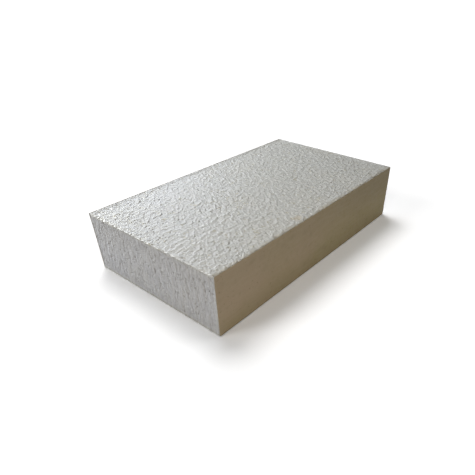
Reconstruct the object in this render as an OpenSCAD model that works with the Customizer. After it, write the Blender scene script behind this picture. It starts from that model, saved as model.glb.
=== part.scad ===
// Rectangular foam buffing block.
// A foam slab carries an abrasive sheet on its top and bottom and a smooth
// buffing sheet on each long side. Every sheet is a backing with a coat on its
// outside and an adhesive film on its inside, and every layer is a plain slab.
// The two ends show bare foam framed by sheet edges.
//
// Frame: millimetres, +Z up, X along the block, origin at the middle of the
// bottom face. The front long side faces -Y.

/* [Block] */
// Length of the block, along X
block_l = 95; // [70:1:120]
// Width of the block over both side sheets, along Y
block_w = 55; // [40:1:70]
// Height of the block over both abrasive sheets, along Z
block_h = 20; // [14:0.5:30]

/* [Abrasive sheets, top and bottom] */
// Thickness of the abrasive coat
grit_coat_t = 0.5; // [0.3:0.05:0.9]
// Thickness of the paper under the abrasive coat
grit_backing_t = 0.3; // [0.2:0.05:0.5]
// Thickness of the adhesive film under the paper
grit_adhesive_t = 0.1; // [0.05:0.01:0.2]

/* [Buffing sheets, long sides] */
// Thickness of the smooth buffing coat
buff_coat_t = 0.1; // [0.06:0.01:0.2]
// Thickness of the film that carries the buffing coat
buff_backing_t = 0.25; // [0.15:0.05:0.4]
// Thickness of the adhesive film behind it
buff_adhesive_t = 0.1; // [0.05:0.01:0.2]
// How far the buffing sheets are trimmed back from the top and bottom faces
buff_trim = 0.1; // [0:0.05:0.3]

/* [Saw marks on the foam ends] */
// Spacing of the shallow upright saw flutes across each foam end
flute_pitch = 3.4; // [2.5:0.1:6]
// Depth of each flute
flute_depth = 0.05; // [0.02:0.01:0.12]
// Radius of each flute
flute_r = 6; // [3:0.5:12]

/* [Hidden] */
$fn = 64;

// Total thickness of an abrasive sheet and of a buffing sheet
grit_stack_t = grit_coat_t + grit_backing_t + grit_adhesive_t;
buff_stack_t = buff_coat_t + buff_backing_t + buff_adhesive_t;

// Foam left between the sheets; it runs the full length of the block
core_w = block_w - 2 * buff_stack_t;
core_h = block_h - 2 * grit_stack_t;

// Flute centrelines keep this far from the long sides of the foam
flute_margin = 1;
// Flutes on each side of the middle one
flutes_per_side = floor((core_w - 2 * flute_margin) / flute_pitch / 2);
// How far the flute cutters run past the foam, above and below
cut_overrun = 1;

// Directions out from the foam: along Z for the abrasive sheets, along Y for
// the buffing sheets
TOP = 1;
BOTTOM = -1;
REAR = 1;
FRONT = -1;

// Colours
foam_colour     = [0.80, 0.80, 0.81];
abrasive_colour = [0.88, 0.88, 0.86];
paper_colour    = [0.66, 0.65, 0.62];
adhesive_colour = [0.86, 0.82, 0.70];
film_colour     = [0.84, 0.82, 0.76];
buff_colour     = [0.62, 0.56, 0.46];

// Flute cutters for one end of the foam, end = -1 or +1 along X
module flute_cutters(end)
    for (i = [-flutes_per_side : flutes_per_side])
        translate([
            end * (block_l / 2 + flute_r - flute_depth),
            i * flute_pitch,
            grit_stack_t - cut_overrun
        ])
            cylinder(r = flute_r, h = core_h + 2 * cut_overrun);

module foam_core()
    color(foam_colour)
        difference() {
            translate([-block_l / 2, -core_w / 2, grit_stack_t])
                cube([block_l, core_w, core_h]);
            flute_cutters(-1);
            flute_cutters(1);
        }

// One layer of an abrasive sheet, t thick. offset is the distance from the
// foam to the layer's inner face.
module grit_layer(offset, t, side) {
    z = side == TOP ? block_h - grit_stack_t + offset : grit_stack_t - offset - t;
    translate([-block_l / 2, -core_w / 2, z])
        cube([block_l, core_w, t]);
}

module grit_adhesive(side)
    color(adhesive_colour)
        grit_layer(0, grit_adhesive_t, side);

module grit_backing(side)
    color(paper_colour)
        grit_layer(grit_adhesive_t, grit_backing_t, side);

module grit_coat(side)
    color(abrasive_colour)
        grit_layer(grit_adhesive_t + grit_backing_t, grit_coat_t, side);

// One layer of a buffing sheet, with offset and t as for grit_layer.
// It covers the edges of the abrasive sheets, less the trim.
module buff_layer(offset, t, side) {
    inner = core_w / 2 + offset;
    y = side == REAR ? inner : -inner - t;
    translate([-block_l / 2, y, buff_trim])
        cube([block_l, t, block_h - 2 * buff_trim]);
}

module buff_adhesive(side)
    color(adhesive_colour)
        buff_layer(0, buff_adhesive_t, side);

module buff_backing(side)
    color(film_colour)
        buff_layer(buff_adhesive_t, buff_backing_t, side);

module buff_coat(side)
    color(buff_colour)
        buff_layer(buff_adhesive_t + buff_backing_t, buff_coat_t, side);

// Abrasive sheets
module top_adhesive_film() grit_adhesive(TOP);
module top_backing_paper() grit_backing(TOP);
module top_abrasive_coat() grit_coat(TOP);

module bottom_adhesive_film() grit_adhesive(BOTTOM);
module bottom_backing_paper() grit_backing(BOTTOM);
module bottom_abrasive_coat() grit_coat(BOTTOM);

// Buffing sheets
module front_adhesive_film() buff_adhesive(FRONT);
module front_backing_film() buff_backing(FRONT);
module front_buffing_coat() buff_coat(FRONT);

module rear_adhesive_film() buff_adhesive(REAR);
module rear_backing_film() buff_backing(REAR);
module rear_buffing_coat() buff_coat(REAR);

foam_core();
top_adhesive_film();
top_backing_paper();
top_abrasive_coat();
bottom_adhesive_film();
bottom_backing_paper();
bottom_abrasive_coat();
front_adhesive_film();
front_backing_film();
front_buffing_coat();
rear_adhesive_film();
rear_backing_film();
rear_buffing_coat();
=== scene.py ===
import math

import bmesh
import bpy
import numpy as np
from mathutils import Matrix, Vector


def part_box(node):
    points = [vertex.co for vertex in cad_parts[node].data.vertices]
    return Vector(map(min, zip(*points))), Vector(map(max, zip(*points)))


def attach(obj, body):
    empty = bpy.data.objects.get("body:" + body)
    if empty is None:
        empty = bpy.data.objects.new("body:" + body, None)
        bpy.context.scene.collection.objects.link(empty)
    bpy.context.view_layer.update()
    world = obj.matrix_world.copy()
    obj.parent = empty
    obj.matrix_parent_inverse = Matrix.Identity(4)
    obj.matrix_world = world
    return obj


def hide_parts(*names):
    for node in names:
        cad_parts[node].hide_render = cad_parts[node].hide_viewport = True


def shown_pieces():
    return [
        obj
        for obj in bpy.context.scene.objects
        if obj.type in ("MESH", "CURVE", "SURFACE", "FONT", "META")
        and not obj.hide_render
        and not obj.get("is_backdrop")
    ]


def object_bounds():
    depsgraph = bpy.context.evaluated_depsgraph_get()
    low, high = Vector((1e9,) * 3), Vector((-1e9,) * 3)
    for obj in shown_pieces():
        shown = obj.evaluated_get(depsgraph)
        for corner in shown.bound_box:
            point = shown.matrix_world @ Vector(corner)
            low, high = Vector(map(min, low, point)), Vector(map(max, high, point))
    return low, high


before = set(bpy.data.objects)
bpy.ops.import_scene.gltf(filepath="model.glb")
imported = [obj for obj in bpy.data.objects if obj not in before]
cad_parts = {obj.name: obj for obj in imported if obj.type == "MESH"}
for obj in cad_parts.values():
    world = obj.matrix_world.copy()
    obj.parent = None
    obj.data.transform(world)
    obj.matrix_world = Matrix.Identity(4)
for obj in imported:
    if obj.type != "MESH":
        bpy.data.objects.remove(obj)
cad_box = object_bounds()

MM = 0.001  # meshes are built in millimetres and stored in metres
scene = bpy.context.scene


def box_mm(node):
    lo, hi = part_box(node)
    return np.array(lo) / MM, np.array(hi) / MM


block_lo, block_hi = (np.array(c) / MM for c in cad_box)
block_size = block_hi - block_lo


# ---------------------------------------------------------------- noise


def hashed(ix, iy, seed):
    """A repeatable number from 0 to 1 for each pair of whole numbers."""
    h = (
        np.asarray(ix, np.int64) * 374761393
        + np.asarray(iy, np.int64) * 668265263
        + seed * 974634777
    )
    h = h & 0xFFFFFFFF
    h = ((h ^ (h >> 13)) * 1274126177) & 0xFFFFFFFF
    h = ((h ^ (h >> 16)) * 2246822519) & 0xFFFFFFFF
    return (h ^ (h >> 15)) / 4294967295.0


def noise(x, y, seed):
    """Smooth gradient noise, about -1 to 1, with features about one unit across."""
    x, y = np.broadcast_arrays(np.asarray(x, float), np.asarray(y, float))
    ix, iy = np.floor(x).astype(np.int64), np.floor(y).astype(np.int64)
    fx, fy = x - ix, y - iy

    def corner(dx, dy):
        a = hashed(ix + dx, iy + dy, seed) * 2 * math.pi
        return np.cos(a) * (fx - dx) + np.sin(a) * (fy - dy)

    u = fx**3 * (fx * (fx * 6 - 15) + 10)
    v = fy**3 * (fy * (fy * 6 - 15) + 10)
    low = corner(0, 0) * (1 - u) + corner(1, 0) * u
    high = corner(0, 1) * (1 - u) + corner(1, 1) * u
    return 1.5 * (low * (1 - v) + high * v)


def layered(x, y, seed, octaves=3, gain=0.5):
    total, weight, amount = 0.0, 1.0, 0.0
    for i in range(octaves):
        total = total + weight * noise(x * 2**i, y * 2**i, seed + 17 * i)
        amount += weight
        weight *= gain
    return total / amount


def smooth_step(low, high, v):
    t = np.clip((v - low) / (high - low), 0, 1)
    return t * t * (3 - 2 * t)


# ---------------------------------------------------------------- close-packed cells


def packed_cells(x0, x1, y0, y1, pitch, spread, seed):
    """Centres and radii of cells of mixed sizes, pushed apart until they pack."""
    rng = np.random.default_rng(seed)
    margin = 1.5 * pitch
    step = pitch * math.sqrt(3) / 2
    points = [
        (x, y)
        for j, y in enumerate(np.arange(y0 - margin, y1 + margin, step))
        for x in np.arange(x0 - margin + (j % 2) * pitch / 2, x1 + margin, pitch)
    ]
    points = np.array(points) + rng.normal(0, 0.2 * pitch, (len(points), 2))
    radius = 0.5 * pitch * np.exp(rng.normal(0, spread, len(points)))
    radius = np.clip(radius, 0.27 * pitch, 0.78 * pitch)
    for _ in range(14):
        dx = points[:, None, 0] - points[None, :, 0]
        dy = points[:, None, 1] - points[None, :, 1]
        dist = np.sqrt(dx * dx + dy * dy) + np.eye(len(points)) * 1e3
        push = np.clip(radius[:, None] + radius[None, :] - dist, 0, None) / dist * 0.32
        points[:, 0] += (dx * push).sum(1)
        points[:, 1] += (dy * push).sum(1)
    return points, radius


def read_cells(gx, gy, points, radius, soft, seed):
    """For each grid point: how far it is from the nearest seam (corners rounded by soft), from
    the second nearest, which cell it is in, how open that seam is, and where it is in its cell."""
    flat_x, flat_y = gx.ravel(), gy.ravel()
    order = np.argsort(flat_y, kind="stable")
    out = {
        k: np.zeros(flat_x.size) for k in ("edge", "second", "open", "dx", "dy", "size")
    }
    cell = np.zeros(flat_x.size, np.int64)
    reach = 3.2 * radius.mean() * 2
    for part in np.array_split(order, max(1, flat_x.size // 5000)):
        px, py = flat_x[part], flat_y[part]
        near = np.nonzero(
            (points[:, 1] > py.min() - reach) & (points[:, 1] < py.max() + reach)
        )[0]
        sx, sy, sr = points[near, 0], points[near, 1], radius[near]
        power = (px[:, None] - sx) ** 2 + (py[:, None] - sy) ** 2 - sr**2
        own = power.argmin(1)
        rows = np.arange(len(part))
        between = np.hypot(sx[:, None] - sx, sy[:, None] - sy) + 1e-9
        away = (power - power[rows, own][:, None]) / (2 * between[own])
        away[rows, own] = 1e3
        first = away.argmin(1)
        nearest = away[rows, first]
        away_soft = np.clip(away, 0, 12 * soft)
        out["edge"][part] = np.clip(
            -soft * np.log(np.exp(-away_soft / soft).sum(1)), 0, None
        )
        away[rows, first] = 1e3
        out["second"][part] = away.min(1)
        a, b = near[own], near[first]
        out["open"][part] = hashed(np.minimum(a, b), np.maximum(a, b), seed)
        out["dx"][part] = px - sx[own]
        out["dy"][part] = py - sy[own]
        out["size"][part] = sr[own]
        cell[part] = a
    return {k: v.reshape(gx.shape) for k, v in out.items()}, cell.reshape(gx.shape)


# ---------------------------------------------------------------- mesh building


def make_piece(name, verts, quads, tris, node, material, attributes=None, angle=55):
    """A closed mesh object from millimetre vertices, which stands for a CAD node."""
    mesh = bpy.data.meshes.new(name)
    mesh.from_pydata(
        (np.asarray(verts) * MM).tolist(),
        [],
        np.asarray(quads, np.int64).reshape(-1, 4).tolist()
        + np.asarray(tris, np.int64).reshape(-1, 3).tolist(),
    )
    b = bmesh.new()
    b.from_mesh(mesh)
    bmesh.ops.recalc_face_normals(b, faces=b.faces)
    b.to_mesh(mesh)
    b.free()
    for key, values in (attributes or {}).items():
        layer = mesh.attributes.new(key, "FLOAT", "POINT")
        layer.data.foreach_set("value", np.asarray(values, np.float32))
    mesh.shade_smooth()
    mesh.set_sharp_from_angle(angle=math.radians(angle))
    mesh.materials.append(material)
    mesh.update()
    piece = bpy.data.objects.new(name, mesh)
    scene.collection.objects.link(piece)
    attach(piece, "root")
    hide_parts(node)
    return piece


def ring_of(na, nb):
    """The border of a grid of (na + 1) by (nb + 1) points, in order, as (i, j)."""
    return np.array(
        [(i, 0) for i in range(na)]
        + [(na, j) for j in range(nb)]
        + [(i, nb) for i in range(na, 0, -1)]
        + [(0, j) for j in range(nb, 0, -1)]
    )


def grid_quads(na, nb, start=0):
    index = start + np.arange((na + 1) * (nb + 1)).reshape(na + 1, nb + 1)
    return np.stack(
        [index[:-1, :-1], index[1:, :-1], index[1:, 1:], index[:-1, 1:]], -1
    ).reshape(-1, 4)


def ring_quads(first, second):
    """The band of faces between two rings of vertex numbers."""
    return np.stack([first, np.roll(first, -1), np.roll(second, -1), second], -1)


def plane_axes(axis):
    return [i for i in range(3) if i != axis]


def inward(a, b, lo_a, hi_a, lo_b, hi_b):
    """Which way is in from each point of a rectangle's border."""
    tol = 1e-6
    return (
        (np.abs(a - lo_a) < tol).astype(float) - (np.abs(a - hi_a) < tol),
        (np.abs(b - lo_b) < tol).astype(float) - (np.abs(b - hi_b) < tol),
    )


END_SEED = {-1: 311, 1: 577}


def saw_marks(y, z, seed):
    """The upright streaks that the saw leaves across a whole end: how deep each point lies, and how
    strong the streak there is, from about -1 to 1."""
    lean = y + (0.26 * smooth_step(6, 20, y) - 0.2) * z + 0.35 * noise(y / 4, z / 7, seed + 2)
    broken = 0.55 + 0.6 * noise(y / 2.4, z / 3.4, seed + 6)
    broad = noise(lean / 1.6, z / 15, seed + 3)
    streak = noise(lean / 0.66, z / 5.5, seed + 4) * broken
    fine = noise(lean / 0.36, z / 1.8, seed + 5)
    return 0.024 * (1 + broad) + 0.062 * (1 + streak) + 0.028 * (1 + fine), streak


def saw_ends(verts, reach=0.6):
    """Draw the points of a sheet that are close to either end back to the sawn surface."""
    for end in (-1, 1):
        away = np.abs(verts[:, 0] - (block_lo[0] if end < 0 else block_hi[0]))
        near = away < 4 * reach
        depth = saw_marks(verts[near, 1], verts[near, 2], END_SEED[end])[0]
        verts[near, 0] -= end * depth * np.exp(-away[near] / reach)
    return verts


def relief_slab(name, node, axis, side, pitch, surface, ragged, seed, material, finer=0.0, snap=None):
    """A thin sheet whose outer face is a relief. surface(a, b) gives how deep each point of that
    face lies under the CAD face, and the point attributes. The cut edges wander in by up to ragged.
    The grid is finer by that share at the near end, and snap(a, b) moves its inner points on to ridges."""
    lo, hi = box_mm(node)
    ia, ib = plane_axes(axis)
    na = int(round((hi[ia] - lo[ia]) / pitch))
    nb = int(round((hi[ib] - lo[ib]) / pitch))
    t = np.linspace(0, 1, na + 1)
    ga, gb = np.meshgrid(
        lo[ia] + (hi[ia] - lo[ia]) * (t * (1 - finer) + t * t * finer),
        np.linspace(lo[ib], hi[ib], nb + 1),
        indexing="ij",
    )
    if snap:
        inside = (slice(1, -1), slice(1, -1))
        ga[inside], gb[inside] = snap(ga[inside], gb[inside])
    outer, inner = (hi[axis], lo[axis]) if side > 0 else (lo[axis], hi[axis])
    depth, attributes = surface(ga, gb)
    verts = np.zeros((ga.size, 3))
    verts[:, ia], verts[:, ib] = ga.ravel(), gb.ravel()
    verts[:, axis] = outer - side * depth.ravel()
    index = np.arange(ga.size).reshape(ga.shape)
    ring = ring_of(na, nb)
    top = index[ring[:, 0], ring[:, 1]]
    quads, last, all_verts, count = [grid_quads(na, nb)], top, [verts], ga.size
    edge = verts[top]
    da, db = inward(edge[:, ia], edge[:, ib], lo[ia], hi[ia], lo[ib], hi[ib])
    along = edge[:, ia] + edge[:, ib] * 1.7
    rows = 3
    copies = {k: [v.ravel()] for k, v in attributes.items()}
    for k in range(1, rows + 1):
        row = edge.copy()
        t = k / rows
        row[:, axis] = edge[:, axis] * (1 - t) + inner * t
        move = ragged * (0.5 + 0.5 * layered(along / 0.7, k * 3.1, seed + 5 * k))
        row[:, ia] += da * move * 0.15  # the ends are sawn with the foam
        row[:, ib] += db * move * (np.where(db > 0, 0.2, 1) if axis == 1 else 1)
        all_verts.append(row)
        here = count + np.arange(len(row))
        quads.append(ring_quads(last, here))
        last, count = here, count + len(row)
        for key, values in attributes.items():
            copies[key].append(values.ravel()[top])
    centre = np.zeros((1, 3))
    centre[0, ia], centre[0, ib] = (lo[ia] + hi[ia]) / 2, (lo[ib] + hi[ib]) / 2
    centre[0, axis] = inner
    all_verts.append(centre)
    tris = np.stack([last, np.roll(last, -1), np.full(len(last), count)], -1)
    for key in copies:
        copies[key].append([0.0])
    return make_piece(
        name,
        saw_ends(np.concatenate(all_verts)),
        np.concatenate(quads),
        tris,
        node,
        material,
        {k: np.concatenate(v) for k, v in copies.items()},
    )


def cut_sheet(name, node, axis, ragged, seed, material):
    """A flat layer between two others. Its faces lie on the CAD faces and its cut edges wander."""
    lo, hi = box_mm(node)
    ia, ib = plane_axes(axis)
    na = int(round((hi[ia] - lo[ia]) / 0.4))
    nb = max(4, int(round((hi[ib] - lo[ib]) / 0.2)))
    ring = ring_of(na, nb)
    a = lo[ia] + (hi[ia] - lo[ia]) * ring[:, 0] / na
    b = lo[ib] + (hi[ib] - lo[ib]) * ring[:, 1] / nb
    da, db = inward(a, b, lo[ia], hi[ia], lo[ib], hi[ib])
    along = a + b * 1.7
    rows, levels = [], 3
    inset = np.zeros((len(ring), 3))
    shrink = 1 - 1.6 / (hi - lo)
    for k in range(levels + 1):
        t = k / levels
        bow = 0.35 + 0.65 * (1 - abs(2 * t - 1))
        move = (
            ragged * bow * (0.5 + 0.5 * layered(along / 0.9, k * 2.3, seed + 3 * k))
        )
        row = np.zeros((len(ring), 3))
        row[:, ia] = a + da * move * 0.15
        row[:, ib] = b + db * move * (np.where(db > 0, 0.2, 1) if axis == 1 else 1)
        row[:, axis] = lo[axis] * (1 - t) + hi[axis] * t
        rows.append(row)
    mid_a, mid_b = (lo[ia] + hi[ia]) / 2, (lo[ib] + hi[ib]) / 2
    verts, quads, tris, count = [], [], [], 0
    rings = []
    for row in rows:
        verts.append(row)
        rings.append(count + np.arange(len(row)))
        count += len(row)
    for first, second in zip(rings, rings[1:]):
        quads.append(ring_quads(first, second))
    for border, level in ((rings[0], lo[axis]), (rings[-1], hi[axis])):
        inset = np.zeros((len(ring), 3))
        inset[:, ia] = mid_a + (a - mid_a) * shrink[ia]
        inset[:, ib] = mid_b + (b - mid_b) * shrink[ib]
        inset[:, axis] = level
        centre = np.zeros((1, 3))
        centre[0, ia], centre[0, ib], centre[0, axis] = mid_a, mid_b, level
        verts += [inset, centre]
        here = count + np.arange(len(ring))
        quads.append(ring_quads(border, here))
        tris.append(
            np.stack([here, np.roll(here, -1), np.full(len(ring), count + len(ring))], -1)
        )
        count += len(ring) + 1
    return make_piece(
        name,
        saw_ends(np.concatenate(verts)),
        np.concatenate(quads),
        np.concatenate(tris),
        node,
        material,
    )


# ---------------------------------------------------------------- surfaces


def pebble_face(seed, calm):
    """The pebbled coat: shallow bowls of mixed sizes between thin raised rims, which are broken in
    places. calm(x, y) says how much of the relief is left at each point. Returns the surface, and
    what moves grid points on to the crests of the rims, so that the mesh keeps them sharp."""
    lo, hi = box_mm("top_abrasive_coat")
    # the cells are a little longer than they are wide
    long = 1.25
    points, radius = packed_cells(
        lo[0], hi[0], lo[1] * long, hi[1] * long, 2.05, 0.16, seed
    )
    thick = hi[2] - lo[2]

    def cells(gx, gy):
        # the rims wander a little, so that no cell has straight sides
        wx = gx + 0.08 * noise(gx / 0.7, gy / 0.7, seed + 1)
        wy = gy * long + 0.08 * noise(gx / 0.7, gy / 0.7, seed + 2)
        return read_cells(wx, wy, points, radius, 0.06, seed + 3)

    def snap(gx, gy):
        h = 0.02
        edge = cells(gx, gy)[0]["edge"]
        slope_x = (cells(gx + h, gy)[0]["edge"] - edge) / h
        slope_y = (cells(gx, gy + h)[0]["edge"] - edge) / h
        steep = np.hypot(slope_x, slope_y)
        move = np.where((edge < 0.095) & (steep > 0.4), edge, 0) / np.clip(steep, 0.4, None) ** 2
        move = np.clip(move, 0, 0.095)
        return gx - move * slope_x, gy - move * slope_y

    def surface(gx, gy):
        at, cell = cells(gx, gy)
        own = hashed(cell, cell * 0 + 5, seed)
        # the rims sink towards the corners of the cells
        whole = 0.6 + 0.4 * at["open"]
        whole *= 0.1 + 0.9 * smooth_step(0.12, 0.6, at["second"])
        whole *= 1 + 0.3 * noise(gx / 0.8, gy / 0.8, seed + 4)
        whole = np.clip(whole, 0, 1)
        rim = np.exp(-((at["edge"] / 0.17) ** 2)) * whole
        bowl = 1 - np.exp(-((at["edge"] / 0.5) ** 2))
        depth = 0.16 * (1 - rim)
        depth += 0.05 * bowl * (0.3 + 0.7 * hashed(cell, cell * 0 + 31, seed))
        # each cell has its own height and tilt
        tilt_x = (hashed(cell, cell * 0 + 21, seed) - 0.5) * 0.16
        tilt_y = (hashed(cell, cell * 0 + 22, seed) - 0.5) * 0.16
        depth += 0.04 * own + np.clip(
            at["dx"] * tilt_x + at["dy"] * tilt_y, -0.06, 0.06
        )
        # painted shade lies along the foot of the rims, and there are pits where three cells meet
        rim_foot_shade = np.exp(-(((at["edge"] - 0.2) / 0.13) ** 2)) * (0.25 + 0.75 * at["open"])
        pit = np.exp(-((at["edge"] / 0.17) ** 2) - (at["second"] / 0.32) ** 2)
        pit *= smooth_step(0.45, 0.85, hashed(cell, cell * 0 + 41, seed))
        depth += 0.16 * pit
        # skin wrinkles and gentle unevenness
        depth += 0.016 * layered(gx / 0.5, gy / 0.5, seed + 30, 2)
        depth += 0.02 * layered(gx / 9.0, gy / 9.0, seed + 31, 2)
        # edges rolled over and nicked by the cut
        border = np.minimum(
            np.minimum(gx - lo[0], hi[0] - gx), np.minimum(gy - lo[1], hi[1] - gy)
        )
        run = noise((gx + gy * 1.3) / 1.1, 0.5, seed + 40)
        depth += (0.03 + 0.13 * bowl * (1 + 0.4 * run)) * np.exp(-border / 0.3)
        nick = smooth_step(0.1, 0.6, noise((gx - gy) / 0.8, 7.5, seed + 41))
        depth += 0.2 * nick * np.exp(-((border / 0.4) ** 2))
        # the relief is a little deeper towards the near rear corner, shallower at the far end
        depth *= 0.62 + 0.28 * smooth_step(lo[1] + 8, hi[1], gy) * smooth_step(lo[0] + 45, lo[0], gx)
        depth *= 1 - 0.05 * smooth_step(lo[0] + 25, hi[0] - 15, gx)
        depth = (depth + 0.05) * calm(gx, gy)
        depth = np.clip(depth, 0.0, thick - 0.07)
        depth -= depth.min()
        return depth, {"rim": rim, "seam": rim_foot_shade, "tint": own, "pit": pit}

    return surface, snap


def calm_far(gx, gy):
    """The top sheet is pressed flatter along its rear edge and its far end."""
    border = np.minimum(block_hi[0] - gx, block_hi[1] - 0.45 - gy)
    return 0.35 + 0.65 * smooth_step(0.1, 1.6, border)


def calm_round(gx, gy):
    """The bottom sheet bears on the table all round its border."""
    border = np.minimum(
        np.minimum(gx - block_lo[0], block_hi[0] - gx),
        np.minimum(gy - block_lo[1], block_hi[1] - gy) - 0.45,
    )
    return smooth_step(0.2, 2.6, border)


def rub_face(seed, node):
    """The smooth buffing coat: faintly uneven, with a few shallow dents and rub marks."""
    lo, hi = box_mm(node)
    rng = np.random.default_rng(seed)
    dents = [
        (
            rng.uniform(lo[0] + 1, hi[0] - 1),
            rng.uniform(lo[2] + 1, hi[2] - 1),
            rng.uniform(0.25, 0.8),
            rng.uniform(0.2, 1.0),
        )
        for _ in range(120)
    ]
    thick = hi[1] - lo[1]

    def surface(gx, gz):
        depth = 0.012 * (1 + layered(gx / 6, gz / 5, seed, 3))
        spot = np.zeros_like(gx)
        for x, z, r, strength in dents:
            spot += strength * np.exp(
                -(((gx - x) / (r * 1.4)) ** 2) - ((gz - z) / r) ** 2
            )
        depth += 0.022 * np.clip(spot, 0, 1.2)
        border = np.minimum(
            np.minimum(gx - lo[0], hi[0] - gx), np.minimum(gz - lo[2], hi[2] - gz)
        )
        depth += 0.03 * np.exp(-border / 0.15)
        depth = np.clip(depth, 0, thick - 0.03)
        return depth - depth.min(), {"dent": np.clip(spot, 0, 1)}

    return surface


def sawn_face(seed, corner_crack):
    """Depth of one sawn foam end: upright streaks, small pits and the outlines of torn cells."""
    lo, hi = box_mm("foam_core")
    points, radius = packed_cells(lo[1], hi[1], lo[2], hi[2], 2.7, 0.2, seed)
    rng = np.random.default_rng(seed + 1)
    pits = [
        (
            rng.uniform(lo[1] + 0.6, hi[1] - 0.6),
            rng.uniform(lo[2] + 0.4, hi[2] - 0.4),
            rng.uniform(0.12, 0.27),
            rng.uniform(0.7, 2.2),
            rng.uniform(0.3, 1.0) ** 1.5,
        )
        for _ in range(340)
    ]

    def surface(gy, gz):
        depth, streak = saw_marks(gy, gz, seed)
        inside = np.minimum(
            np.minimum(gy - lo[1], hi[1] - gy), np.minimum(gz - lo[2], hi[2] - gz)
        )
        tear = layered(gy / 0.75, gz / 0.85, seed + 7, 2)
        depth += 0.045 * (1 + tear) * smooth_step(0, 0.5, inside)
        at, cell = read_cells(
            gy + 0.2 * noise(gy / 0.9, gz / 0.9, seed + 8),
            gz + 0.2 * noise(gy / 0.9, gz / 0.9, seed + 11),
            points,
            radius,
            0.1,
            seed + 9,
        )
        seam = np.exp(-((at["edge"] / 0.12) ** 2)) * smooth_step(
            0.62, 0.95, at["open"]
        )
        seam *= smooth_step(-0.3, 0.4, noise(gy / 1.5, gz / 1.5, seed + 10))
        spot = np.zeros_like(gy)
        for y, z, r, stretch, strength in pits:
            spot = np.maximum(
                spot,
                strength
                * np.exp(-(((gy - y) / r) ** 2) - ((gz - z) / (r * stretch)) ** 2),
            )
        crack = np.zeros_like(gy)
        if corner_crack:
            # a fine crack curves round the upper front corner
            cy, cz = gy - block_lo[1], block_hi[2] - gz
            away = np.hypot(cy, cz * 0.95) - 2.2 - 0.12 * np.sin(5 * np.arctan2(cz, cy))
            crack = np.exp(-((away / 0.1) ** 2))
        depth += 0.1 * seam + 0.17 * spot + 0.12 * crack
        return np.clip(depth, 0, 0.5), {
            "pit": np.clip(spot + 0.9 * crack + 0.3 * seam, 0, 1),
            "tear": np.clip(0.5 + 0.7 * tear, 0, 1),
            "streak": np.clip(0.5 + 0.6 * streak, 0, 1),
            "cell": hashed(cell, cell * 0 + 3, seed),
        }

    return surface


def foam_slab(name, node, pitch, material):
    """The foam core: two sawn ends joined by plain faces, which the sheets cover."""
    lo, hi = box_mm(node)
    ny = int(round((hi[1] - lo[1]) / pitch))
    nz = int(round((hi[2] - lo[2]) / pitch))
    gy, gz = np.meshgrid(
        np.linspace(lo[1], hi[1], ny + 1),
        np.linspace(lo[2], hi[2], nz + 1),
        indexing="ij",
    )
    ring = ring_of(ny, nz)
    verts, quads, copies, count = [], [], {}, 0
    borders = []
    for end, seed in END_SEED.items():
        depth, attributes = sawn_face(seed, end < 0)(gy, gz)
        v = np.zeros((gy.size, 3))
        v[:, 0] = (lo[0] if end < 0 else hi[0]) - end * depth.ravel()
        v[:, 1], v[:, 2] = gy.ravel(), gz.ravel()
        verts.append(v)
        quads.append(grid_quads(ny, nz, count))
        index = count + np.arange(gy.size).reshape(gy.shape)
        borders.append(index[ring[:, 0], ring[:, 1]])
        count += gy.size
        for key, values in attributes.items():
            copies.setdefault(key, []).append(values.ravel())
    stations = 10
    last = borders[0]
    outline = verts[0][last]
    for k in range(1, stations):
        row = outline.copy()
        row[:, 0] = lo[0] + (hi[0] - lo[0]) * k / stations
        verts.append(row)
        here = count + np.arange(len(row))
        quads.append(ring_quads(last, here))
        last, count = here, count + len(row)
        for key in copies:
            copies[key].append(np.zeros(len(row)))
    quads.append(ring_quads(last, borders[1]))
    return make_piece(
        name,
        np.concatenate(verts),
        np.concatenate(quads),
        [],
        node,
        material,
        {k: np.concatenate(v) for k, v in copies.items()},
        angle=50,
    )


# ---------------------------------------------------------------- materials


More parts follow.
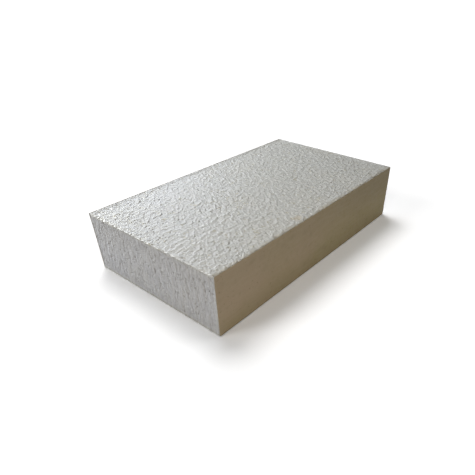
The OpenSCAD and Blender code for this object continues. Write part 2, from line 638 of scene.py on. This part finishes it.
class Tree:
    """A material's nodes, with coordinates in millimetres of the row frame."""

    def __init__(self, name):
        self.material = bpy.data.materials.new(name)
        self.material.use_nodes = True
        self.nt = self.material.node_tree
        self.nt.nodes.clear()
        self.bsdf = self.node("ShaderNodeBsdfPrincipled")
        out = self.node("ShaderNodeOutputMaterial")
        self.nt.links.new(self.bsdf.outputs[0], out.inputs["Surface"])
        coord = self.node("ShaderNodeTexCoord")
        self.place = self.vector("SCALE", coord.outputs["Object"], scale=1 / MM)

    def node(self, kind, **props):
        n = self.nt.nodes.new(kind)
        for key, value in props.items():
            setattr(n, key, value)
        return n

    def put(self, socket, value):
        if isinstance(value, bpy.types.NodeSocket):
            self.nt.links.new(value, socket)
        elif isinstance(value, (tuple, list)) and len(value) == 3 and socket.type == "RGBA":
            socket.default_value = (*value, 1.0)
        else:
            socket.default_value = value

    def vector(self, operation, a, b=None, scale=None):
        n = self.node("ShaderNodeVectorMath", operation=operation)
        self.put(n.inputs[0], a)
        if b is not None:
            self.put(n.inputs[1], b)
        if scale is not None:
            self.put(n.inputs["Scale"], scale)
        return n.outputs[1] if operation in ("LENGTH", "DISTANCE") else n.outputs[0]

    def maths(self, operation, a, b=0.0, clamp=False):
        n = self.node("ShaderNodeMath", operation=operation, use_clamp=clamp)
        self.put(n.inputs[0], a)
        self.put(n.inputs[1], b)
        return n.outputs[0]

    def split(self):
        n = self.node("ShaderNodeSeparateXYZ")
        self.put(n.inputs[0], self.place)
        return n.outputs

    def noise(self, size, detail=3.0, rough=0.5, stretch=(1, 1, 1), shift=0.0, twist=0.0):
        """Noise whose features are about size millimetres across, longer along the axes stretch says."""
        mapped = self.vector(
            "MULTIPLY", self.place, tuple(1 / (size * s) for s in stretch)
        )
        if shift:
            mapped = self.vector("ADD", mapped, (shift, shift * 1.7, shift * 0.6))
        n = self.node("ShaderNodeTexNoise", noise_dimensions="3D")
        self.put(n.inputs["Vector"], mapped)
        self.put(n.inputs["Scale"], 1.0)
        self.put(n.inputs["Detail"], detail)
        self.put(n.inputs["Roughness"], rough)
        self.put(n.inputs["Distortion"], twist)
        return n.outputs[0]

    def voronoi(self, size, feature="F1", stretch=(1, 1, 1), output="Distance"):
        mapped = self.vector(
            "MULTIPLY", self.place, tuple(1 / (size * s) for s in stretch)
        )
        n = self.node("ShaderNodeTexVoronoi", feature=feature)
        self.put(n.inputs["Vector"], mapped)
        self.put(n.inputs["Scale"], 1.0)
        return n.outputs[output]

    def span(self, value, low, high, to_low=0.0, to_high=1.0, smooth=True):
        """value mapped from low..high to to_low..to_high, and held there beyond it."""
        n = self.node(
            "ShaderNodeMapRange",
            interpolation_type="SMOOTHSTEP" if smooth else "LINEAR",
        )
        for socket, v in zip(n.inputs, (value, low, high, to_low, to_high)):
            self.put(socket, v)
        return n.outputs[0]

    def mix(self, factor, a, b, blend="MIX"):
        n = self.node("ShaderNodeMix", data_type="RGBA", blend_type=blend)
        self.put(n.inputs[0], factor)
        self.put(n.inputs[6], a)
        self.put(n.inputs[7], b)
        return n.outputs[2]

    def attribute(self, name):
        return self.node("ShaderNodeAttribute", attribute_name=name).outputs["Fac"]

    def bump(self, height, depth_mm, strength=1.0, normal=None):
        n = self.node("ShaderNodeBump")
        self.put(n.inputs["Strength"], strength)
        self.put(n.inputs["Distance"], depth_mm * MM)
        self.put(n.inputs["Height"], height)
        if normal is not None:
            self.put(n.inputs["Normal"], normal)
        return n.outputs[0]

    def finish(self, colour, rough, normal, specular=0.5, **others):
        self.put(self.bsdf.inputs["Base Color"], colour)
        self.put(self.bsdf.inputs["Roughness"], rough)
        self.put(self.bsdf.inputs["Normal"], normal)
        self.put(self.bsdf.inputs["Specular IOR Level"], specular)
        for key, value in others.items():
            self.put(self.bsdf.inputs[key.replace("_", " ")], value)
        return self.material


def saw_lines(t, colour, amount):
    """Light and dark upright lines that the saw draws through the whole stack at both ends."""
    x, y, z = t.split()
    end = t.span(t.maths("ABSOLUTE", x), block_hi[0] - 0.75, block_hi[0] - 0.45)
    light = t.span(t.noise(0.5, 3, 0.6, stretch=(3, 1, 9)), 0.42, 0.66)
    dark = t.span(t.noise(0.42, 3, 0.6, stretch=(3, 1, 6.5), shift=21), 0.52, 0.72)
    colour = t.mix(
        t.maths("MULTIPLY", t.maths("MULTIPLY", light, end), amount), colour, (0.86, 0.86, 0.86)
    )
    return t.mix(
        t.maths("MULTIPLY", t.maths("MULTIPLY", dark, end), amount), colour, (0.50, 0.50, 0.52)
    )


def pebble_material():
    t = Tree("pebble_coat")
    rim, seam, tint, pit = (t.attribute(k) for k in ("rim", "seam", "tint", "pit"))
    colour = t.mix(tint, (0.79, 0.79, 0.768), (0.735, 0.735, 0.717))
    cloud = t.span(t.noise(14, 3, 0.55), 0.35, 0.7)
    colour = t.mix(
        t.maths("MULTIPLY", cloud, 0.5), colour, (0.78, 0.765, 0.715)
    )
    mottle = t.span(t.noise(0.9, 4, 0.6, shift=3), 0.3, 0.75)
    colour = t.mix(t.maths("MULTIPLY", mottle, 0.3), colour, (0.85, 0.85, 0.84))
    # the rims are paler, rubbed clean and with a painted highlight; beside them the low ground is darkened
    # in patches, painted shade and dirt, with specks of dirt, yellowish in places
    colour = t.mix(t.maths("MULTIPLY", rim, 0.7), colour, (0.89, 0.895, 0.90))
    low = t.span(rim, 0.45, 0.1)
    dirt_and_shade = t.maths("MULTIPLY", low, t.span(t.noise(0.8, 3, 0.6, shift=12), 0.54, 0.68))
    colour = t.mix(t.maths("MULTIPLY", dirt_and_shade, 0.22), colour, (0.52, 0.515, 0.48))
    speck = t.maths("MULTIPLY", low, t.span(t.noise(1.5, 2, 0.5, shift=9), 0.62, 0.72))
    colour = t.mix(t.maths("MULTIPLY", speck, 0.5), colour, (0.56, 0.49, 0.30))
    # painted shade along the foot of the rims
    colour = t.mix(t.maths("MULTIPLY", seam, 0.15), colour, (0.46, 0.455, 0.42))
    # painted shade in the pits where three cells meet
    colour = t.mix(t.maths("MULTIPLY", pit, 0.4), colour, (0.33, 0.32, 0.27))
    # one handling stain close to the front edge
    lo, hi = box_mm("top_abrasive_coat")
    spot = (lo[0] + 0.405 * (hi[0] - lo[0]), lo[1] + 2.3, hi[2])
    off = t.vector("MULTIPLY", t.vector("SUBTRACT", t.place, spot), (0.55, 0.8, 0.0))
    ragged = t.maths("ADD", t.vector("LENGTH", off), t.noise(1.1, 3, 0.6, shift=5))
    stain = t.span(ragged, 1.9, 0.9)
    colour = t.mix(t.maths("MULTIPLY", stain, 0.35), colour, (0.66, 0.52, 0.33))
    # a line of painted shade along the far end, and a rubbed and slightly yellowed one along the front edge
    x, y, z = t.split()
    edge_shade = t.span(x, hi[0] - 0.9, hi[0] - 0.3, 0, 0.7)
    colour = t.mix(edge_shade, colour, (0.33, 0.33, 0.31))
    near = t.span(y, lo[1] + 1.3, lo[1] + 0.1)
    worn = t.maths("MULTIPLY", near, t.span(t.noise(2.4, 3, 0.6, shift=7), 0.35, 0.65))
    colour = t.mix(t.maths("MULTIPLY", worn, 0.5), colour, (0.74, 0.68, 0.53))
    colour = saw_lines(t, colour, 0.6)
    rough = t.span(t.noise(0.6, 3, 0.6, shift=2), 0.35, 0.65, 0.28, 0.46)
    shiny = t.span(t.noise(0.8, 2, 0.5, shift=15), 0.60, 0.68)
    rough = t.maths("SUBTRACT", rough, t.maths("MULTIPLY", shiny, 0.16))
    rough = t.maths("SUBTRACT", rough, t.maths("MULTIPLY", rim, 0.12))
    rough = t.maths("ADD", rough, t.span(x, lo[0] + 0.8, lo[0] + 0.3, 0, 0.2))
    normal = t.bump(t.noise(0.35, 3, 0.6, shift=4), 0.03)
    normal = t.bump(t.noise(0.12, 2, 0.5, shift=6), 0.01, normal=normal)
    return t.finish(colour, rough, normal, 0.55)


def foam_material():
    t = Tree("cut_foam")
    pit, streak, cell, tear = (t.attribute(k) for k in ("pit", "streak", "cell", "tear"))
    # the blue cast of the foam's colour is painted cool light
    colour = t.mix(cell, (0.85, 0.866, 0.93), (0.79, 0.806, 0.87))
    lines = t.span(t.noise(0.5, 3, 0.6, stretch=(3, 1, 9)), 0.3, 0.72)
    colour = t.mix(t.maths("MULTIPLY", streak, 0.3), colour, (0.62, 0.62, 0.63))
    colour = t.mix(t.maths("MULTIPLY", tear, 0.3), colour, (0.60, 0.60, 0.61))
    cloud = t.span(t.noise(9, 3, 0.5, shift=4), 0.35, 0.7)
    colour = t.mix(t.maths("MULTIPLY", cloud, 0.25), colour, (0.74, 0.725, 0.70))
    # painted light and shade: cooler and greyer low down towards the rear, painted cool light, with a
    # darker, warmer cast high up towards the front, painted shade
    x, y, z = t.split()
    cool_light_cast = t.maths("MULTIPLY", t.span(y, 0, block_hi[1]), t.span(z, block_hi[2] - 4, 0))
    colour = t.mix(t.maths("MULTIPLY", cool_light_cast, 0.6), colour, (0.655, 0.665, 0.735))
    colour = t.mix(t.span(z, 8, block_hi[2] - 1, 0, 0.2), colour, (0.52, 0.51, 0.50))
    colour = saw_lines(t, colour, 0.6)
    specks = t.span(t.noise(0.45, 2, 0.5, stretch=(3, 1, 1.6), shift=31), 0.62, 0.72)
    colour = t.mix(t.maths("MULTIPLY", specks, 0.4), colour, (0.42, 0.42, 0.43))
    grain = t.voronoi(0.42, "DISTANCE_TO_EDGE")
    colour = t.mix(
        t.span(grain, 0.16, 0.0, 0.0, 0.3), colour, (0.55, 0.55, 0.56)
    )
    # the pits and the crack, and faintly the torn cell outlines, are darkened: painted shade
    colour = t.mix(t.maths("MULTIPLY", pit, 0.55), colour, (0.33, 0.32, 0.33))
    rough = t.span(t.noise(0.6, 3, 0.6), 0.3, 0.7, 0.66, 0.88)
    normal = t.bump(lines, 0.03)
    normal = t.bump(grain, 0.03, normal=normal)
    normal = t.bump(t.noise(0.16, 3, 0.6, shift=2), 0.02, normal=normal)
    return t.finish(colour, rough, normal, 0.35)


def buffing_material():
    t = Tree("buffing_coat")
    dent = t.attribute("dent")
    lo, hi = box_mm("front_buffing_coat")
    x, y, z = t.split()
    # brown towards one end, olive towards the other and along the bottom; the olive is painted warm bounce
    # light, and the brown is partly painted shade
    along = t.span(x, lo[0] + 8, hi[0] - 18, 0, 1)
    down = t.span(z, lo[2] + 11, lo[2] + 1, 0, 0.55)
    wander = t.span(t.noise(16, 3, 0.5), 0.3, 0.7, -0.18, 0.18)
    bounce_shade_mix = t.maths(
        "ADD", t.maths("ADD", t.maths("MULTIPLY", along, 0.8), down), wander, clamp=True
    )
    colour = t.mix(bounce_shade_mix, (0.47, 0.385, 0.29), (0.41, 0.36, 0.22))
    cloud = t.span(t.noise(4.5, 4, 0.6, shift=3), 0.3, 0.72)
    colour = t.mix(t.maths("MULTIPLY", cloud, 0.22), colour, (0.50, 0.44, 0.33))
    # painted shade: darker towards the far end and higher up
    far_end_shade = t.maths(
        "MULTIPLY", t.span(x, hi[0] - 40, hi[0] - 4, 0, 0.45), t.span(z, lo[2] + 4, hi[2] - 2, 0.1, 1)
    )
    colour = t.mix(far_end_shade, colour, (0.29, 0.26, 0.165))
    far_top_shade = t.maths("MULTIPLY", t.span(z, lo[2] + 6, hi[2] - 1), t.span(x, lo[0], hi[0], 0.3, 0.62))
    colour = t.mix(far_top_shade, colour, (0.32, 0.275, 0.20))
    rub = t.span(t.noise(0.5, 3, 0.6, stretch=(14, 1, 1), shift=5), 0.42, 0.72)
    colour = t.mix(t.maths("MULTIPLY", rub, 0.12), colour, (0.56, 0.49, 0.37))
    mottle = t.span(t.noise(0.45, 3, 0.65, shift=8), 0.35, 0.7)
    colour = t.mix(t.maths("MULTIPLY", mottle, 0.16), colour, (0.36, 0.31, 0.22))
    fleck = t.span(t.noise(0.7, 2, 0.5, stretch=(1.7, 1, 1), shift=11), 0.66, 0.74)
    colour = t.mix(t.maths("MULTIPLY", fleck, 0.45), colour, (0.24, 0.20, 0.14))
    colour = t.mix(t.maths("MULTIPLY", dent, 0.3), colour, (0.30, 0.26, 0.18))
    # the cut border is scuffed pale in places
    half = (hi[2] - lo[2]) / 2
    rim = t.span(
        t.maths("ABSOLUTE", t.maths("SUBTRACT", z, lo[2] + half)), half - 0.4, half
    )
    scuff = t.maths("MULTIPLY", rim, t.span(t.noise(1.6, 3, 0.6, shift=6), 0.5, 0.66))
    colour = t.mix(t.maths("MULTIPLY", scuff, 0.6), colour, (0.70, 0.63, 0.48))
    # painted shade along the far end and the bottom edge
    edge_shade = t.maths(
        "MAXIMUM",
        t.span(x, hi[0] - 0.9, hi[0] - 0.25, 0, 0.7),
        t.span(z, lo[2] + 0.55, lo[2] + 0.1, 0, 0.45),
    )
    colour = t.mix(edge_shade, colour, (0.22, 0.19, 0.13))
    rough = t.span(t.noise(1.2, 3, 0.6, shift=1), 0.3, 0.7, 0.55, 0.74)
    rough = t.maths("SUBTRACT", rough, t.maths("MULTIPLY", rub, 0.08))
    normal = t.bump(t.noise(0.22, 3, 0.65, shift=2), 0.016)
    normal = t.bump(t.noise(1.6, 3, 0.5, shift=4), 0.05, normal=normal)
    return t.finish(colour, rough, normal, 0.35)


def layer_material(name, light, dark, fibre, rough_low, rough_high, specular):
    """Paper, film or adhesive, seen mostly as a cut edge."""
    t = Tree(name)
    cloud = t.span(t.noise(3, 3, 0.55), 0.3, 0.7)
    colour = t.mix(cloud, light, dark)
    strands = t.span(t.noise(0.25, 3, 0.65, stretch=fibre, shift=3), 0.3, 0.72)
    colour = t.mix(t.maths("MULTIPLY", strands, 0.3), colour, tuple(c * 0.78 for c in dark))
    colour = saw_lines(t, colour, 0.75)
    rough = t.span(t.noise(0.7, 3, 0.6, shift=5), 0.3, 0.7, rough_low, rough_high)
    normal = t.bump(strands, 0.02)
    return t.finish(colour, rough, normal, specular)


looks = {
    "abrasive_coat": pebble_material(),
    "cut_foam": foam_material(),
    "buffing_coat": buffing_material(),
    "backing_paper": layer_material(
        "backing_paper", (0.66, 0.66, 0.65), (0.58, 0.58, 0.575), (6, 6, 1), 0.75, 0.9, 0.3
    ),
    "adhesive": layer_material(
        "adhesive", (0.70, 0.68, 0.62), (0.62, 0.60, 0.54), (3, 3, 1), 0.35, 0.55, 0.5
    ),
    "backing_film": layer_material(
        "backing_film", (0.70, 0.69, 0.66), (0.62, 0.61, 0.58), (9, 1, 3), 0.35, 0.5, 0.5
    ),
}

# ---------------------------------------------------------------- the block

foam_slab("cut_foam_slab", "foam_core", 0.15, looks["cut_foam"])
for place, side, seed, calm in (("top", 1, 41, calm_far), ("bottom", -1, 97, calm_round)):
    face, snap = pebble_face(seed, calm)
    relief_slab(
        f"{place}_pebble_coat",
        f"{place}_abrasive_coat",
        2,
        side,
        0.24,
        face,
        0.05,
        seed,
        looks["abrasive_coat"],
        0.14,
        snap,
    )
    cut_sheet(
        f"{place}_paper", f"{place}_backing_paper", 2, 0.06, seed + 1, looks["backing_paper"]
    )
    cut_sheet(
        f"{place}_adhesive", f"{place}_adhesive_film", 2, 0.08, seed + 2, looks["adhesive"]
    )
for place, side, seed in (("front", -1, 151), ("rear", 1, 211)):
    relief_slab(
        f"{place}_rub_coat",
        f"{place}_buffing_coat",
        1,
        side,
        0.33,
        rub_face(seed, f"{place}_buffing_coat"),
        0.3,
        seed,
        looks["buffing_coat"],
    )
    cut_sheet(
        f"{place}_film", f"{place}_backing_film", 1, 0.22, seed + 1, looks["backing_film"]
    )
    cut_sheet(
        f"{place}_adhesive", f"{place}_adhesive_film", 1, 0.08, seed + 2, looks["adhesive"]
    )

# ---------------------------------------------------------------- stage

middle = Vector(((block_lo + block_hi) / 2 * MM).tolist())

floor_mesh = bpy.data.meshes.new("floor")
reach = 3.0
level = block_lo[2] * MM - 0.00002
floor_mesh.from_pydata(
    [(-reach, -reach, level), (reach, -reach, level), (reach, reach, level), (-reach, reach, level)],
    [],
    [(0, 1, 2, 3)],
)
floor = bpy.data.objects.new("floor", floor_mesh)
scene.collection.objects.link(floor)
floor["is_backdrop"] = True
paper = bpy.data.materials.new("floor_paper")
paper.use_nodes = True
nt = paper.node_tree
nt.nodes.clear()
out = nt.nodes.new("ShaderNodeOutputMaterial")
seen = nt.nodes.new("ShaderNodeBsdfDiffuse")  # what the camera sees, exposed to white
seen.inputs["Color"].default_value = (1.5, 1.5, 1.5, 1)
real = nt.nodes.new("ShaderNodeBsdfDiffuse")  # what lights the block from below
real.inputs["Color"].default_value = (0.6, 0.6, 0.6, 1)
glow = nt.nodes.new("ShaderNodeEmission")  # well away from the block the paper is burnt out to white
glow.inputs["Color"].default_value = (1, 1, 1, 1)
glow.inputs["Strength"].default_value = 1.1
spot = nt.nodes.new("ShaderNodeTexCoord")
off = nt.nodes.new("ShaderNodeVectorMath")
off.operation = "ABSOLUTE"
over = nt.nodes.new("ShaderNodeVectorMath")
over.operation = "SUBTRACT"
over.inputs[1].default_value = (block_hi[0] * MM, block_hi[1] * MM, 1.0)
clip = nt.nodes.new("ShaderNodeVectorMath")
clip.operation = "MAXIMUM"
clip.inputs[1].default_value = (0, 0, 0)
away = nt.nodes.new("ShaderNodeVectorMath")
away.operation = "LENGTH"
fade = nt.nodes.new("ShaderNodeMapRange")
fade.interpolation_type = "SMOOTHSTEP"
fade.inputs[1].default_value, fade.inputs[2].default_value = 0.026, 0.05
nt.links.new(spot.outputs["Object"], off.inputs[0])
nt.links.new(off.outputs[0], over.inputs[0])
nt.links.new(over.outputs[0], clip.inputs[0])
nt.links.new(clip.outputs[0], away.inputs[0])
nt.links.new(away.outputs[1], fade.inputs[0])
burnt = nt.nodes.new("ShaderNodeMixShader")
nt.links.new(fade.outputs[0], burnt.inputs[0])
nt.links.new(seen.outputs[0], burnt.inputs[1])
nt.links.new(glow.outputs[0], burnt.inputs[2])
which = nt.nodes.new("ShaderNodeMixShader")
path = nt.nodes.new("ShaderNodeLightPath")
nt.links.new(path.outputs["Is Camera Ray"], which.inputs[0])
nt.links.new(real.outputs[0], which.inputs[1])
nt.links.new(burnt.outputs[0], which.inputs[2])
nt.links.new(which.outputs[0], out.inputs["Surface"])
floor_mesh.materials.append(paper)

world = bpy.data.worlds.new("studio")
scene.world = world
world.use_nodes = True
nt = world.node_tree
nt.nodes.clear()
out = nt.nodes.new("ShaderNodeOutputWorld")
dome = nt.nodes.new("ShaderNodeBackground")
dome.name = "dome"
dome.inputs["Color"].default_value = (1.0, 1.0, 1.0, 1)
dome.inputs["Strength"].default_value = 0.02
white = nt.nodes.new("ShaderNodeBackground")
white.inputs["Color"].default_value = (1, 1, 1, 1)
white.inputs["Strength"].default_value = 1.1
which = nt.nodes.new("ShaderNodeMixShader")
path = nt.nodes.new("ShaderNodeLightPath")
nt.links.new(path.outputs["Is Camera Ray"], which.inputs[0])
nt.links.new(dome.outputs[0], which.inputs[1])
nt.links.new(white.outputs[0], which.inputs[2])
nt.links.new(which.outputs[0], out.inputs["Surface"])


def group_of(name, members):
    group = bpy.data.collections.new(name)
    for o in members:
        group.objects.link(o)
    return group


block_group = group_of("block_group", [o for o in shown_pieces()])
# The rear sheet faces the window squarely, so it has a dimmer window of its own.
rear = [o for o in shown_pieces() if o.name.startswith("rear_")]
rear_group = group_of("rear_group", rear)
window_group = group_of("window_group", [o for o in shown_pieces() if o not in rear])
# The far end has a dim fill that leaves the top alone.
below = [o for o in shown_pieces() if not o.name.startswith("top_")]
far_group = group_of("far_group", below)
floor_group = group_of("floor_group", [floor])


def soft_light(name, azimuth, elevation, distance, size, power, lit):
    """An area light that faces the block and lights one group. azimuth is measured from +X towards +Y, and power is in watts for red, green and blue."""
    data = bpy.data.lights.new(name, "AREA")
    data.shape = "DISK"
    data.size = size
    data.energy = max(power)
    data.color = [p / max(power) for p in power]
    light = bpy.data.objects.new(name, data)
    a, e = math.radians(azimuth), math.radians(elevation)
    away = Vector((math.cos(a) * math.cos(e), math.sin(a) * math.cos(e), math.sin(e)))
    light.location = middle + away * distance
    light.rotation_mode = "QUATERNION"
    light.rotation_quaternion = away.to_track_quat("Z", "Y")
    scene.collection.objects.link(light)
    light.light_linking.receiver_collection = lit
    return light


# The block and the floor have lights of their own, so that the floor can stay white round a soft shadow.
soft_light("window", 103, 18, 0.3, 0.16, (1.82, 1.88, 1.88), window_group)
soft_light("rear_window", 103, 18, 0.3, 0.16, (0.42, 0.43, 0.43), rear_group)
soft_light("far_end", 5, 12, 0.75, 0.3, (0.9, 0.9, 0.92), far_group)
soft_light("rear_low", 60, 25, 0.75, 0.3, (0.40, 0.44, 0.56), block_group)
soft_light("warm_front", 240, 25, 0.4, 0.3, (0.546, 0.474, 0.36), block_group)
for i, (azimuth, elevation, size, power) in enumerate(
    (
        (70, 62, 0.4, 2.02),
        (50, 62, 0.4, 0.88),
        (320, 62, 0.4, 0.53),
        (155, 35, 0.3, 1.08),
        (200, 35, 0.3, 0.70),
        (320, 35, 0.3, 0.27),
    )
):
    soft_light(f"floor_{i}", azimuth, elevation, 0.75, size, (power,) * 3, floor_group)

# ---------------------------------------------------------------- camera

camera_data = bpy.data.cameras.new("camera")
camera = bpy.data.objects.new("camera", camera_data)
scene.collection.objects.link(camera)
scene.camera = camera
camera_data.sensor_width = 36.0
camera_data.lens = 31.62
camera_data.clip_start, camera_data.clip_end = 0.005, 20
width = block_size[1] * MM
home = Vector((-1.8752, -1.6647, 1.4326)) * width + Vector((0, 0, block_lo[2] * MM))
a, e, roll = math.radians(-51.22), math.radians(37.63), math.radians(0.075)
back = Vector((math.sin(a) * math.cos(e), -math.cos(a) * math.cos(e), math.sin(e)))
camera.rotation_mode = "QUATERNION"
camera.rotation_quaternion = (-back).to_track_quat("-Z", "Y") @ Matrix.Rotation(
    roll, 4, "Z"
).to_quaternion()
camera.location = home
# The lens is shifted, as in a cropped picture, and only while the camera stands at its own place.
for prop, amount in (("shift_x", -0.0796), ("shift_y", 0.1222)):
    driver = camera_data.driver_add(prop).driver
    driver.type = "SCRIPTED"
    for letter in "xyz":
        variable = driver.variables.new()
        variable.name = letter
        variable.type = "TRANSFORMS"
        target = variable.targets[0]
        target.id = camera
        target.transform_type = "LOC_" + letter.upper()
        target.transform_space = "WORLD_SPACE"
    driver.expression = (
        f"{amount} if abs(x - {home.x:.6f}) + abs(y - {home.y:.6f}) + abs(z - {home.z:.6f}) < 0.001 else 0.0"
    )

scene.view_settings.view_transform = "Standard"
scene.view_settings.look = "None"
